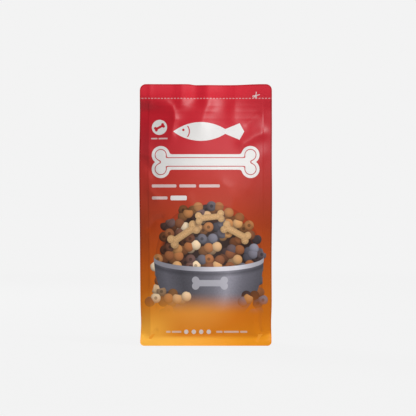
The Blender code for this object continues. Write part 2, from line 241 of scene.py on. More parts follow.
class PouchShape:
    """Where every point of the pouch's skin lies, worked out from its sizes."""

    def __init__(self, sizes: PouchSizes) -> None:
        """Keeps the sizes."""
        self.s = sizes

    def half_panel(self, z: Array) -> Array:
        """Half the panel's width at a height, before its corners are rounded.

        Args:
            z: heights.

        Returns:
            The half width at each height.
        """
        s = self.s
        drawn = s.draw_in * smooth((s.draw_in_top - z) / s.draw_in_reach)
        return s.width / 2 - drawn - s.waist * bell(z - s.waist_level, s.waist_reach)

    def fin_root(self, z: Array) -> Array:
        """Distance from the middle to the inner edge of the side seals."""
        return self.half_panel(z) - self.s.side_seal

    def fin_edge(self, z: Array) -> Array:
        """Distance from the middle to the outer edge, with the corners rounded.

        Args:
            z: heights.

        Returns:
            The distance at each height.
        """
        s = self.s
        above = np.clip(z - (s.height - s.top_corner), 0.0, s.top_corner)
        below = np.clip(s.bottom_corner - z, 0.0, s.bottom_corner)
        top = s.top_corner - np.sqrt(s.top_corner**2 - above**2)
        bottom = s.bottom_corner - np.sqrt(s.bottom_corner**2 - below**2)
        return self.half_panel(z) - top - bottom

    def half_depth(self, z: Array) -> Array:
        """Distance from the middle of the pouch to the plane of its side seals.

        Args:
            z: heights.

        Returns:
            The distance at each height.
        """
        s = self.s
        full = s.base_depth / 2
        rise = np.clip((z - s.fill_level) / (s.seal_start - s.fill_level), 0.0, 1.0)
        share = 1.0 + rise**2 * ((2.0 - s.seal_slope) * rise - (3.0 - s.seal_slope))
        flare = s.bottom_flare * np.clip(1.0 - z / s.flare_height, 0.0, 1.0)
        return s.band + (full - s.band) * share + flare

    def coupling(self, z: Array) -> Array:
        """How far front and back move as one: 1 in the top seal, 0 where it is deep."""
        loose = (self.half_depth(z) - self.s.band) / self.s.coupled_depth
        return np.clip(1.0 - loose, 0.0, 1.0)

    def gusset_depth(self, z: Array) -> Array:
        """How far the crease of a side gusset lies in from the side seals.

        Args:
            z: heights.

        Returns:
            The depth at each height.
        """
        s = self.s
        ramp = smooth((z - s.bottom_seal) / (s.fill_level / 2))
        slack = np.maximum((s.base_depth / 2) ** 2 - self.half_depth(z) ** 2, 0.0)
        return np.sqrt((s.gusset_crease * ramp) ** 2 + slack)

    def panel_depth(self, x: Array, z: Array) -> Array:
        """Distance from the middle plane to a panel's outer face, before the folds.

        Args:
            x: distances from the panel's middle.
            z: heights.

        Returns:
            The distance at each point.
        """
        s = self.s
        root = self.fin_root(z)
        height = np.clip((z - s.bottom_seal) / (s.seal_start - s.bottom_seal), 0.0, 1.0)
        across = np.clip(np.abs(x) / root, 0.0, 1.0)
        bulge = s.panel_bulge * np.sin(math.pi * height**s.bulge_slump)
        bulge = bulge * (1.0 - across**s.bulge_flatness)
        missing = 1.0 - smooth((np.abs(x) - root + s.base_depth / 2) / s.band)
        return self.half_depth(z) + bulge - s.film * missing * self.coupling(z)

    def relief(self, x: Array, z: Array, folds: tuple[Fold, ...]) -> Array:
        """How far a panel's folds stand out.

        Args:
            x: distances from the panel's middle.
            z: heights.
            folds: the panel's folds.

        Returns:
            The relief at each point, outwards.
        """
        root = self.fin_root(z)
        total = np.zeros_like(x)
        for fold in folds:
            gap, side = np.full_like(x, 1.0), np.zeros_like(x)
            for (a, drop_a), (b, drop_b) in zip(fold.line, fold.line[1:]):
                ax, bx = a * root, b * root
                az, bz = self.s.seal_start - drop_a, self.s.seal_start - drop_b
                run_x, run_z = bx - ax, bz - az
                length = np.hypot(run_x, run_z)
                share = ((x - ax) * run_x + (z - az) * run_z) / length**2
                share = np.clip(share, 0.0, 1.0)
                off_x, off_z = x - ax - share * run_x, z - az - share * run_z
                here = np.hypot(off_x, off_z)
                turn = (run_x * off_z - run_z * off_x) / (length * np.maximum(here, 1e-9))
                side = np.where(here < gap, turn, side)
                gap = np.minimum(gap, here)
            far = fold.reach if fold.far is None else fold.far
            reach = far + (fold.reach - far) * (0.5 + 0.5 * side)
            total += fold.rise * np.exp(-((gap / reach) ** fold.crest))
        below_seal = smooth((self.s.seal_start + self.s.fold_lead - z) / self.s.fold_fade)
        return total * smooth(z / self.s.bottom_corner) * below_seal

    def strips(self, x: Array, z: Array) -> Array:
        """The low level ridges where the closing strip shows through the film.

        Args:
            x: distances from the panel's middle.
            z: heights.

        Returns:
            The rise at each point, outwards.
        """
        s = self.s
        inside = smooth((self.fin_root(z) - np.abs(x)) / s.side_seal)
        lines = [bell(z - s.seal_start + drop, s.strip_reach) for drop in s.strip_drops]
        return s.strip_rise * inside * sum(lines)

    def lean(self, z: Array) -> Array:
        """How far the top seal leans back."""
        s = self.s
        return 2.0 * s.seal_lean * smooth((z - s.seal_start) / (2.0 * s.top_seal))

    def dip(self, x: Array, z: Array) -> Array:
        """How far the middle of the top edge sags below its ends.

        Args:
            x: distances from the panel's middle.
            z: heights.

        Returns:
            The sag at each point.
        """
        s = self.s
        low, high = (share * self.fin_root(z) for share in s.dip_span)
        start, end = s.dip_ends
        inside = smooth((x - low) / start) * smooth((high - x) / end)
        return s.top_dip * inside * smooth((z - s.seal_start) / s.top_seal)

    def step(self, x: Array, z: Array) -> Array:
        """How far the side seals lie below the panels beside them.

        Args:
            x: distances from the panel's middle.
            z: heights.

        Returns:
            The step at each point, inwards.
        """
        s = self.s
        fade = smooth(z / s.bottom_seal) * smooth((s.seal_start - z) / s.bottom_seal)
        return s.root_step * fade * smooth((np.abs(x) - self.fin_root(z)) / s.root_reach + 1.0)

    def seal_wave(self, x: Array, z: Array) -> Array:
        """How far the flat top seal waves towards the front.

        Args:
            x: distances from the panel's middle.
            z: heights.

        Returns:
            The move at each point, towards the front.
        """
        s = self.s
        fade = smooth(1.0 - (s.seal_start - z) / s.seal_wave_fade)
        root = self.fin_root(z)
        waves = [w.rise * bell(x - w.across * root, w.reach) for w in SEAL_WAVES]
        return fade * sum(waves)

    def fin_wave(self, x: Array, z: Array) -> Array:
        """How far the loose fins sway in and out along their length.

        Args:
            x: distances from the panel's middle.
            z: heights.

        Returns:
            The move at each point, towards the front.
        """
        s = self.s
        out = np.maximum(np.abs(x) - self.fin_root(z), 0.0) / s.side_seal
        turn = 2.0 * math.pi * z / s.fin_wave_pitch + np.where(x > 0.0, *s.fin_wave_turn)
        ends = smooth(z / s.bottom_seal - 1.0) * smooth((s.seal_start - z) / s.top_seal)
        return s.fin_wave * out * ends * (np.sin(turn) + 0.5 * np.sin(1.7 * turn))

    def fin_turn(self, x: Array, y: Array, z: Array) -> Array:
        """How far the fins sweep back towards the middle of the pouch's side.

        Args:
            x: distances from the panel's middle.
            y: places front to back.
            z: heights.

        Returns:
            The move at each point, towards the back.
        """
        s = self.s
        out = np.maximum(np.abs(x) - self.fin_root(z), 0.0) / s.side_seal
        fade = np.where(x > 0.0, *s.sweep_fade)
        ends = smooth(z / s.bottom_seal - 0.3) * smooth((s.seal_start - z) / fade)
        return -np.sign(y) * s.fin_sweep * out * ends

    def sway(self, z: Array) -> Array:
        """How far the whole outline sways to the right at a height."""
        shifts = sum(shift * bell(z - level, reach) for level, reach, shift in self.s.sways)
        return shifts * smooth(z / self.s.bottom_seal)

    def warped(self, x: Array, y: Array, z: Array) -> Array:
        """Points of the skin with the film's folds and waves put in.

        Args:
            x: places across.
            y: places front to back, before the folds.
            z: heights.

        Returns:
            The points, one row each.
        """
        depth = self.half_depth(z)
        joined = self.coupling(z)
        share = np.clip(0.5 - y / (2.0 * depth), 0.0, 1.0)
        front = joined + (1.0 - joined) * share
        back = (1.0 - joined) * (1.0 - share)
        move = (self.relief(x, z, FRONT_FOLDS) + self.strips(x, z) - self.step(x, z)) * front
        move -= (self.relief(x, z, BACK_FOLDS) - self.step(x, z)) * back
        move += self.seal_wave(x, z) + self.fin_wave(x, z)
        y = y - move + self.fin_turn(x, y, z) + self.lean(z)
        return np.column_stack((x + self.sway(z), y, z - self.dip(x, z)))

    def panel_x(self, station: Array, z: Array) -> Array:
        """Places across a panel, where stations from 1 to 2 lie on its fins.

        Args:
            station: places on the panel, from -2 to 2.
            z: heights.

        Returns:
            The distances from the middle.
        """
        root, edge = self.fin_root(z), self.fin_edge(z)
        out = np.clip(np.abs(station) - 1.0, 0.0, 1.0)
        fin = np.sign(station) * (root + (edge - root) * out)
        return np.where(np.abs(station) <= 1.0, root * station, fin)


@dataclass(frozen=True)
class Sheet:
    """One sheet of the skin: a grid whose columns and rows are mapped into place."""

    columns: Array
    rows: Array
    place: Place
    paint: Place
    finish: Finish


@dataclass
class PouchSkin:
    """The pouch's film as one closed skin, made of sheets that are welded together."""

    shape: PouchShape
    panel_columns: int = 104
    edge_crowding: float = 0.5
    fin_columns: int = 8
    fin_crowding: float = 1.3
    gusset_columns: int = 22
    fine_row: float = 0.00105
    coarse_row: float = 0.0016
    fine_above: float = 0.150
    weld: float = 1e-6
    sharp_over: float = 50.0

    def stations(self) -> Array:
        """The panel's columns, crowded towards its fins.

        Returns:
            The columns, from -2 to 2.
        """
        even = np.linspace(-1.0, 1.0, self.panel_columns + 1)
        crowded = np.sin(math.pi / 2 * even)
        inner = even + self.edge_crowding * (crowded - even)
        return np.concatenate((-self.fin_stations()[::-1], inner, self.fin_stations()))

    def fin_stations(self) -> Array:
        """The columns on a fin, crowded towards its root."""
        return 1.0 + (np.arange(1, self.fin_columns + 1) / self.fin_columns) ** self.fin_crowding

    def gusset_stations(self) -> Array:
        """The side's columns: -2 to -1 the front fin, -1 to 1 the gusset, 1 to 2 the back fin.

        Returns:
            The columns.
        """
        fins = self.fin_stations()
        even = np.linspace(0.0, 1.0, self.gusset_columns + 1)
        half = 1.0 - (0.5 * even + 0.5 * (1.0 - np.cos(math.pi / 2 * even)))
        inner = np.concatenate((-half, half[::-1][1:]))
        return np.concatenate((-fins[::-1], inner, fins))

    def rows(self) -> tuple[Array, Array]:
        """Heights of the rows up to the top seal, and of those from there up.

        Returns:
            The two sets of heights.
        """
        s = self.shape.s
        arc = np.sin(np.linspace(0.0, math.pi / 2, 7))
        low = list(s.bottom_corner - s.bottom_corner * arc[::-1])
        low += spaced(s.bottom_corner, s.bottom_seal, self.fine_row)[1:]
        low += spaced(s.bottom_seal, 3 * s.bottom_seal, self.fine_row)
        low += spaced(3 * s.bottom_seal, self.fine_above, self.coarse_row)
        low += spaced(self.fine_above, s.seal_start, self.fine_row)
        corner = s.height - s.top_corner
        high = spaced(s.seal_start, corner, self.fine_row)
        high += list(corner + s.top_corner * arc)
        return np.array(low + [s.seal_start]), np.array(high)

    def side_place(self, sign: float) -> Place:
        """Maps the columns of one side's sheet.

        Args:
            sign: 1 for the side at +X, -1 for the other.

        Returns:
            The mapping from columns and heights to points.
        """
        shape, s = self.shape, self.shape.s

        def place(column: Array, z: Array) -> Array:
            """Points of the sheet, one row each.

            Args:
                column: places across the sheet.
                z: heights.

            Returns:
                The points.
            """
            root, edge = shape.fin_root(z), shape.fin_edge(z)
            inside, deep = shape.half_depth(z) - s.band, shape.gusset_depth(z)
            out = np.clip(np.abs(column) - 1.0, 0.0, 1.0)
            share = 1.0 - np.clip(np.abs(column), 0.0, 1.0)
            swell = s.gusset_bulge * (inside / (s.base_depth / 2)) ** 2
            swell *= smooth((z - s.bottom_seal) / s.bottom_seal)
            push = swell * np.sin(math.pi * share) / np.maximum(np.hypot(deep, inside), 1e-9)
            x = root + (edge - root) * out - deep * share + push * inside
            y = np.sign(column) * (inside * (1.0 - share) - push * deep)
            return shape.warped(sign * x, y, z)

        return place

    def side_paint(self, sign: float) -> Place:
        """Maps the columns of one side's sheet to its print, seen from outside.

        Args:
            sign: 1 for the side at +X, -1 for the other.

        Returns:
            The mapping from columns and heights to print places.
        """
        s = self.shape.s

        def paint(column: Array, z: Array) -> Array:
            """Print places of the sheet, one row each.

            Args:
                column: places across the sheet.
                z: heights.

            Returns:
                The print places.
            """
            inner = np.clip(column, -1.0, 1.0)
            across = inner * s.base_depth / 2 + (column - inner) * s.side_seal
            return np.column_stack((sign * across, z))

        return paint

    def panel_sheet(self, sign: float, finish: Finish, rows: Array) -> Sheet:
        """The front panel, with sign -1, or the back panel, with sign 1.

        Args:
            sign: -1 for the front, 1 for the back.
            finish: the panel's finish.
            rows: the heights of its rows.

        Returns:
            The sheet.
        """
        shape = self.shape

        def place(column: Array, z: Array) -> Array:
            """Points of the sheet, one row each."""
            x = shape.panel_x(column, z)
            return shape.warped(x, sign * shape.panel_depth(x, z), z)

        def paint(column: Array, z: Array) -> Array:
            """Print places of the sheet, one row each."""
            x = shape.panel_x(column, z)
            return np.column_stack((-sign * x * shape.s.width / 2 / shape.half_panel(z), z))

        return Sheet(self.stations(), rows, place, paint, finish)

    def plain_paint(self, column: Array, z: Array) -> Array:
        """Print places for sheets that take theirs from their height alone."""
        return np.column_stack((np.zeros_like(z), z))

    def edge_sheets(self, low: Array, high: Array) -> list[Sheet]:
        """The film's cut edges up the fins and round the top.

        Args:
            low: heights up to the top seal.
            high: heights from there up.

        Returns:
            The sheets.
        """
        shape, s = self.shape, self.shape.s

        def fin(column: Array, z: Array, sign: float, face: float) -> Array:
            """Points of a side fin's cut edge.

            Args:
                column: places across the sheet.
                z: heights.
                sign: 1 for the side at +X, -1 for the other.
                face: 1 for the back, -1 for the front.

            Returns:
                The points, one row each.
            """
            edge = shape.fin_edge(z)
            outer = shape.panel_depth(edge, z)
            y = outer + (shape.half_depth(z) - s.band - outer) * column
            return shape.warped(sign * edge, face * y, z)

        def seal(column: Array, z: Array, sign: float) -> Array:
            """Points of the top seal's cut edge at one side."""
            edge = shape.fin_edge(z)
            return shape.warped(sign * edge, column * shape.panel_depth(edge, z), z)

        def top(column: Array, row: Array) -> Array:
            """Points of the cut edge along the top.

            Args:
                column: places along the edge.
                row: places front to back.

            Returns:
                The points, one row each.
            """
            z = np.full_like(column, s.height)
            x = shape.panel_x(column, z)
            return shape.warped(x, row * shape.panel_depth(x, z), z)

        def top_paint(column: Array, row: Array) -> Array:
            """Print places of the cut edge along the top."""
            return np.column_stack((np.zeros_like(row), np.full_like(row, s.height)))

        plain, cut = self.plain_paint, Finish.CUT_EDGE
        half, across = np.array([0.0, 1.0]), np.array([-1.0, 0.0, 1.0])
        sheets = []
        for sign in SIDES:
            for face in SIDES:
                sheets.append(Sheet(half, low, partial(fin, sign=sign, face=face), plain, cut))
            sheets.append(Sheet(across, high, partial(seal, sign=sign), plain, cut))
        sheets.append(Sheet(self.stations(), across, top, top_paint, cut))
        return sheets

    def base_sheets(self) -> list[Sheet]:
        """The base film, the inner walls of the bottom fins and their lower cut edges.

        Returns:
            The sheets.
        """
        shape, s = self.shape, self.shape.s
        floor, seam = np.array(0.0), np.array(s.bottom_seal)
        root, edge = float(shape.fin_root(floor)), float(shape.fin_edge(floor))
        in_x, in_y = root - s.band, float(shape.half_depth(seam)) - s.band
        low_y = float(shape.half_depth(floor)) - s.band
        stations, sides = self.stations(), self.gusset_stations()
        inner = stations[self.fin_columns : -self.fin_columns]
        deep = sides[self.fin_columns : -self.fin_columns]
        fins = stations[-self.fin_columns - 1 :]

        def base(column: Array, row: Array) -> Array:
            """Points of the base film, which rolls down to the floor at its walls.

            Args:
                column: places across.
                row: places front to back.

            Returns:
                The points, one row each.
            """
            x, y = in_x * column, in_y * row
            wall = np.minimum(in_x - np.abs(x), in_y - np.abs(y))
            ahead = np.clip(1.0 - wall / s.base_roll, 0.0, 1.0)
            return np.column_stack((x, y, s.bottom_seal * (1.0 - np.sqrt(1.0 - ahead**2))))

        def long_wall(column: Array, row: Array, sign: float) -> Array:
            """Points of the wall in front or behind."""
            z = s.bottom_seal * (1.0 - row)
            return np.column_stack((in_x * column, sign * (shape.half_depth(z) - s.band), z))

        def short_wall(column: Array, row: Array, sign: float) -> Array:
            """Points of the wall at one side.

            Args:
                column: places along the wall.
                row: places down the wall.
                sign: 1 for the side at +X, -1 for the other.

            Returns:
                The points, one row each.
            """
            z = s.bottom_seal * (1.0 - row)
            x = np.full_like(column, sign * in_x)
            return np.column_stack((x, column * (shape.half_depth(z) - s.band), z))

        def long_cut(column: Array, row: Array, sign: float) -> Array:
            """Points of the lower cut edge in front or behind."""
            x = column * (root - s.band * row)
            return np.column_stack((x, sign * (low_y + s.band * (1.0 - row)), 0.0 * row))

        def short_cut(column: Array, row: Array, sign: float) -> Array:
            """Points of the lower cut edge at one side."""
            x = sign * (root - s.band * row)
            return np.column_stack((x, low_y * column, 0.0 * row))

        def fin_cut(column: Array, row: Array, sign: float, face: float) -> Array:
            """Points of the lower cut edge of one side fin."""
            x = sign * (root + (edge - root) * (column - 1.0))
            return np.column_stack((x, face * (low_y + s.band * (1.0 - row)), 0.0 * row))

        def no_paint(column: Array, row: Array) -> Array:
            """Print places of sheets without print."""
            return np.column_stack((column, row)) * 0.0

        levels = np.array([0.0, 1.0 - s.flare_height / s.bottom_seal, 1.0])
        ends = np.array([0.0, 1.0])
        sheets = [Sheet(inner, deep, base, no_paint, Finish.BASE)]
        for sign in SIDES:
            for columns, rows, place, finish in (
                (inner, levels, long_wall, Finish.BASE),
                (deep, levels, short_wall, Finish.BASE),
                (inner, ends, long_cut, Finish.CUT_EDGE),
                (deep, ends, short_cut, Finish.CUT_EDGE),
            ):
                sheets.append(Sheet(columns, rows, partial(place, sign=sign), no_paint, finish))
            for face in SIDES:
                place = partial(fin_cut, sign=sign, face=face)
                sheets.append(Sheet(fins, ends, place, no_paint, Finish.CUT_EDGE))
        return sheets

    def lay(self, mesh: bmesh.types.BMesh, sheet: Sheet) -> None:
        """Adds one sheet to the skin and marks its print and finish.

        Args:
            mesh: the skin so far.
            sheet: what to add.
        """
        print_map = mesh.loops.layers.uv.verify()
        first_vert, first_face = len(mesh.verts), len(mesh.faces)
        bmesh.ops.create_grid(
            mesh, x_segments=len(sheet.columns) - 1, y_segments=len(sheet.rows) - 1, size=0.5
        )
        mesh.verts.ensure_lookup_table()
        mesh.faces.ensure_lookup_table()
        mesh.verts.index_update()
        verts = mesh.verts[first_vert:]
        flat = np.array([vert.co[:2] for vert in verts]) + 0.5
        column = np.interp(flat[:, 0], np.linspace(0.0, 1.0, len(sheet.columns)), sheet.columns)
        row = np.interp(flat[:, 1], np.linspace(0.0, 1.0, len(sheet.rows)), sheet.rows)
        for vert, point in zip(verts, sheet.place(column, row)):
            vert.co = point
        prints = sheet.paint(column, row)
        for face in mesh.faces[first_face:]:
            face.material_index = int(sheet.finish)
            face.smooth = True
            for loop in face.loops:
                loop[print_map].uv = prints[loop.vert.index - first_vert]

    def build(self) -> bpy.types.Object:
        """Makes the skin as one closed mesh.

        Returns:
            The skin's object, without its materials.
        """
        mesh = bmesh.new()
        low, high = self.rows()
        whole = np.concatenate((low, high[1:]))
        sheets = [
            self.panel_sheet(-1.0, Finish.FRONT, whole),
            self.panel_sheet(1.0, Finish.BACK, whole),
        ]
        side = self.gusset_stations()
        for sign in SIDES:
            place, paint = self.side_place(sign), self.side_paint(sign)
            sheets.append(Sheet(side, low, place, paint, Finish.GUSSET))
        for sheet in sheets + self.edge_sheets(low, high) + self.base_sheets():
            self.lay(mesh, sheet)
        bmesh.ops.remove_doubles(mesh, verts=mesh.verts, dist=self.weld)
        bmesh.ops.holes_fill(mesh, edges=mesh.edges, sides=3)
        bmesh.ops.recalc_face_normals(mesh, faces=mesh.faces)
        data = bpy.data.meshes.new(PIECE)
        mesh.to_mesh(data)
        open_edges = sum(not edge.is_manifold for edge in mesh.edges)
        mesh.free()
        data.set_sharp_from_angle(angle=math.radians(self.sharp_over))
        skin = bpy.data.objects.new(PIECE, data)
        bpy.context.scene.collection.objects.link(skin)
        log.info("%s: %d faces, %d open edges", PIECE, len(data.polygons), open_edges)
        return skin


Value = "Sock | float"
Colour = tuple[float, float, float]


def operator(operation: str, swapped: bool = False) -> Callable[..., "Sock"]:
    """Makes a method of Sock that adds the Math node of one operation.

    Args:
        operation: the Math node's operation.
        swapped: whether the other value comes first.

    Returns:
        The method.
    """

    def method(sock: "Sock", other: Value = 0.0) -> "Sock":
        """The operation on the value and another one."""
        values = (other, sock) if swapped else (sock, other)
        return sock.paint.math(operation, *values)

    return method


class Sock:
    """A value on its way through a material, which Python's operators work on."""

    def __init__(self, paint: "Paint", link: bpy.types.NodeSocket) -> None:
        """Keeps the socket and the material it belongs to."""
        self.paint = paint
        self.link = link

    __add__, __radd__ = operator("ADD"), operator("ADD", True)
    __sub__, __rsub__ = operator("SUBTRACT"), operator("SUBTRACT", True)
    __mul__, __rmul__ = operator("MULTIPLY"), operator("MULTIPLY", True)
    __truediv__, __rtruediv__ = operator("DIVIDE"), operator("DIVIDE", True)
    __pow__, __abs__ = operator("POWER"), operator("ABSOLUTE")

    def __neg__(self) -> "Sock":
        """The value with its sign turned."""
        return self * -1.0


def linear(red: int, green: int, blue: int) -> Colour:
    """A colour written as it looks, from 0 to 255, as the shader's linear values."""
    parts = [value / 255.0 for value in (red, green, blue)]
    return tuple(p / 12.92 if p <= 0.04045 else ((p + 0.055) / 1.055) ** 2.4 for p in parts)


class Paint:
    """One material's node tree, with the few ways in which nodes are added to it."""

    def __init__(self, name: str) -> None:
        """Starts a material with its Principled shader.

        Args:
            name: the material's name.
        """
        self.material = bpy.data.materials.new(name)
        self.material.use_nodes = True
        self.tree = self.material.node_tree
        self.shader = self.tree.nodes["Principled BSDF"]

    def node(
        self,
        kind: str,
        settings: dict[str, object] | None = None,
        inputs: dict[str | int, object] | None = None,
    ) -> bpy.types.Node:
        """Adds a node.

        Args:
            kind: the node's type.
            settings: attributes to set first; "stops" gives a ramp its (place, colour) pairs.
            inputs: values or links of its sockets, by name or number.

        Returns:
            The new node.
        """
        made = self.tree.nodes.new(kind)
        for name, value in (settings or {}).items():
            if name == "stops":
                self.set_stops(made, value)
            else:
                setattr(made, name, value)
        for name, value in (inputs or {}).items():
            self.feed(made.inputs[name], value)
        return made

    @staticmethod
    def set_stops(ramp: bpy.types.Node, stops: tuple[tuple[float, Colour], ...]) -> None:
        """Gives a ramp its stops, in order.

        Args:
            ramp: a ramp's node.
            stops: the place and colour of each stop.
        """
        elements = ramp.color_ramp.elements
        while len(elements) < len(stops):
            elements.new(1.0)
        for element, (place, colour) in zip(elements, stops):
            element.position = place
            element.color = (*colour, 1.0)

    def feed(self, socket: bpy.types.NodeSocket, value: object) -> None:
        """Links a socket, or sets it.

        Args:
            socket: an input of a node.
            value: a link, a number or a colour.
        """
        if isinstance(value, Sock):
            self.tree.links.new(value.link, socket)
        elif isinstance(value, tuple) and socket.type == "RGBA":
            socket.default_value = (*value, 1.0)
        else:
            socket.default_value = value

    def out(self, node: bpy.types.Node, name: str | int = 0) -> Sock:
        """One of a node's outputs."""
        return Sock(self, node.outputs[name])

    def math(self, operation: str, *values: Value, clamp: bool = False) -> Sock:
        """Adds a Math node on numbers."""
        settings = {"operation": operation, "use_clamp": clamp}
        return self.out(self.node("ShaderNodeMath", settings, dict(enumerate(values))))

    def low(self, a: Value, b: Value) -> Sock:
        """The lower of two values."""
        return self.math("MINIMUM", a, b)

    def high(self, a: Value, b: Value) -> Sock:
        """The higher of two values."""
        return self.math("MAXIMUM", a, b)

    def held(self, value: Value) -> Sock:
        """The value kept from 0 to 1."""
        return self.math("ADD", value, 0.0, clamp=True)

    def eased(self, value: Sock, start: float, end: float) -> Sock:
        """A smooth rise from 0 at start to 1 at end."""
        inputs = {"Value": value, "From Min": start, "From Max": end}
        return self.out(self.node("ShaderNodeMapRange", {"interpolation_type": "SMOOTHSTEP"}, inputs))

    def mix(self, share: Value, first: object, second: object, blend: str = "MIX") -> Sock:
        """Mixes two colours, of which share 1 gives the second."""
        settings = {"data_type": "RGBA", "blend_type": blend}
        return self.out(self.node("ShaderNodeMix", settings, {0: share, 6: first, 7: second}), 2)

    def shaded(self, colour: Sock, light: Value) -> Sock:
        """A colour times a level of light."""
        return self.mix(1.0, colour, self.point(light, light, light), "MULTIPLY")

    def ramp(self, value: Value, stops: tuple[tuple[float, Colour], ...]) -> Sock:
        """A colour read from stops."""
        return self.out(self.node("ShaderNodeValToRGB", {"stops": stops}, {"Fac": value}))

    def point(self, x: Value, y: Value, z: Value = 0.0) -> Sock:
        """A vector from its parts."""
        return self.out(self.node("ShaderNodeCombineXYZ", {}, {0: x, 1: y, 2: z}))

    def parts(self, vector: Sock) -> tuple[Sock, Sock, Sock]:
        """A vector's parts."""
        node = self.node("ShaderNodeSeparateXYZ", {}, {0: vector})
        return self.out(node, 0), self.out(node, 1), self.out(node, 2)

    def noise(self, at: Sock, scale: float, detail: float = 2.0, rough: float = 0.5) -> Sock:
        """Smooth noise from 0 to 1."""
        inputs = {"Vector": at, "Scale": scale, "Detail": detail, "Roughness": rough}
        return self.out(self.node("ShaderNodeTexNoise", {"noise_dimensions": "3D"}, inputs), 0)


INK_EDGE = 0.16
WHITE_INK = linear(217, 215, 213)


class Drawing:
    """A drawing in millimetres on a panel. Distances are below 0 inside a form."""

    BONE_KNOB, BONE_SHAFT, BONE_BLEND = 0.28, 0.24, 0.12

    def __init__(self, paint: Paint, u: Sock, v: Sock) -> None:
        """Keeps the material and the place across and up."""
        self.paint, self.u, self.v = paint, u, v

    def turned(self, x: float, y: float, degrees: float) -> "Drawing":
        """The same drawing, moved to a centre and turned.

        Args:
            x: the centre across.
            y: its height.
            degrees: the turn.

        Returns:
            The turned drawing.
        """
        cos, sin = math.cos(math.radians(degrees)), math.sin(math.radians(degrees))
        du, dv = self.u - x, self.v - y
        return Drawing(self.paint, du * cos + dv * sin, dv * cos - du * sin)

    def disc(self, x: float, y: float, radius: float) -> Sock:
        """Distance to a disc."""
        du, dv = self.u - x, self.v - y
        return self.paint.math("SQRT", du * du + dv * dv) - radius

    def bar(self, left: float, right: float, low: float, high: float, corner: float) -> Sock:
        """Distance to a bar with rounded corners.

        Args:
            left: its left end.
            right: its right end.
            low: its lower edge.
            high: its upper edge.
            corner: the radius of its corners.

        Returns:
            The distance.
        """
        p = self.paint
        across = abs(self.u - (left + right) / 2) - ((right - left) / 2 - corner)
        up = abs(self.v - (low + high) / 2) - ((high - low) / 2 - corner)
        out_u, out_v = p.high(across, 0.0), p.high(up, 0.0)
        outside = p.math("SQRT", out_u * out_u + out_v * out_v)
        return outside + p.low(p.high(across, up), 0.0) - corner

    def bone(self, long: float, thick: float, inset: float = 0.0) -> Sock:
        """Distance to a bone that lies across the drawing's centre.

        Args:
            long: length from end to end.
            thick: height across the knobs.
            inset: how far inside that bone's outline the form lies.

        Returns:
            The distance.
        """
        p = self.paint
        knob, shaft = thick * self.BONE_KNOB, thick * self.BONE_SHAFT
        du = abs(self.u) - (long / 2 - knob)
        dv = abs(self.v) - (thick / 2 - knob)
        knobs = p.math("SQRT", du * du + dv * dv) - knob + inset
        middle = p.high(du, abs(self.v) - shaft + inset)
        return p.math("SMOOTH_MIN", knobs, middle, thick * self.BONE_BLEND)

    def rod(self, start: tuple[float, float], end: tuple[float, float], thick: float) -> Sock:
        """Distance to a straight stroke with round ends.

        Args:
            start: its start.
            end: its end.
            thick: its thickness.

        Returns:
            The distance.
        """
        p = self.paint
        run_u, run_v = end[0] - start[0], end[1] - start[1]
        du, dv = self.u - start[0], self.v - start[1]
        share = p.held((du * run_u + dv * run_v) / (run_u**2 + run_v**2))
        away_u, away_v = du - share * run_u, dv - share * run_v
        return p.math("SQRT", away_u * away_u + away_v * away_v) - thick / 2

    def together(self, forms: list[Sock]) -> Sock:
        """Distance to the nearest of several forms."""
        return reduce(self.paint.low, forms)

    def inked(self, distance: Sock, soft: float = INK_EDGE) -> Sock:
        """How far a form covers what is under it."""
        return self.paint.held(0.5 - distance / (2.0 * soft))


@dataclass(frozen=True)
class FilmFinish:
    """The laminate film: a soft-touch outer layer over a printed one."""

    roughness: float = 0.45
    roughness_spread: float = 0.06
    specular: float = 0.28
    grain: float = 0.00003
    grain_size: float = 0.0011
    ripple: float = 0.00022
    ripple_size: float = 0.018
    ink_smoother: float = 0.05

    def dress(self, paint: Paint, colour: Sock, ink: Sock | None = None) -> None:
        """Feeds the shader with a print's colour and the film's own surface.

        Args:
            paint: the material.
            colour: the print.
            ink: where solid white ink lies, which is a little smoother.
        """
        at = paint.out(paint.node("ShaderNodeTexCoord"), "Object")
        grain = paint.noise(at, 1.0 / self.grain_size, 3.0, 0.6)
        ripple = paint.noise(at, 1.0 / self.ripple_size, 2.0, 0.4)
        height = grain * self.grain + ripple * self.ripple
        inputs = {"Strength": 1.0, "Distance": 1.0, "Height": height}
        bump = paint.out(paint.node("ShaderNodeBump", {}, inputs))
        rough = self.roughness + (ripple - 0.5) * self.roughness_spread
        if ink is not None:
            rough = rough - ink * self.ink_smoother
        made = {"Base Color": colour, "Roughness": rough, "Normal": bump}
        for name, value in {**made, "Specular IOR Level": self.specular}.items():
            paint.feed(paint.shader.inputs[name], value)


GRADIENT = (
    (0.000, linear(228, 134, 4)),
    (0.050, linear(220, 128, 2)),
    (0.100, linear(214, 118, 2)),
    (0.162, linear(207, 112, 3)),
    (0.240, linear(196, 98, 6)),
    (0.330, linear(184, 80, 10)),
    (0.460, linear(168, 60, 20)),
    (0.550, linear(170, 56, 36)),
    (0.650, linear(178, 48, 42)),
    (0.760, linear(186, 42, 50)),
    (0.860, linear(190, 29, 43)),
    (0.935, linear(190, 26, 42)),
    (0.950, linear(207, 32, 50)),
    (1.000, linear(210, 36, 54)),
)


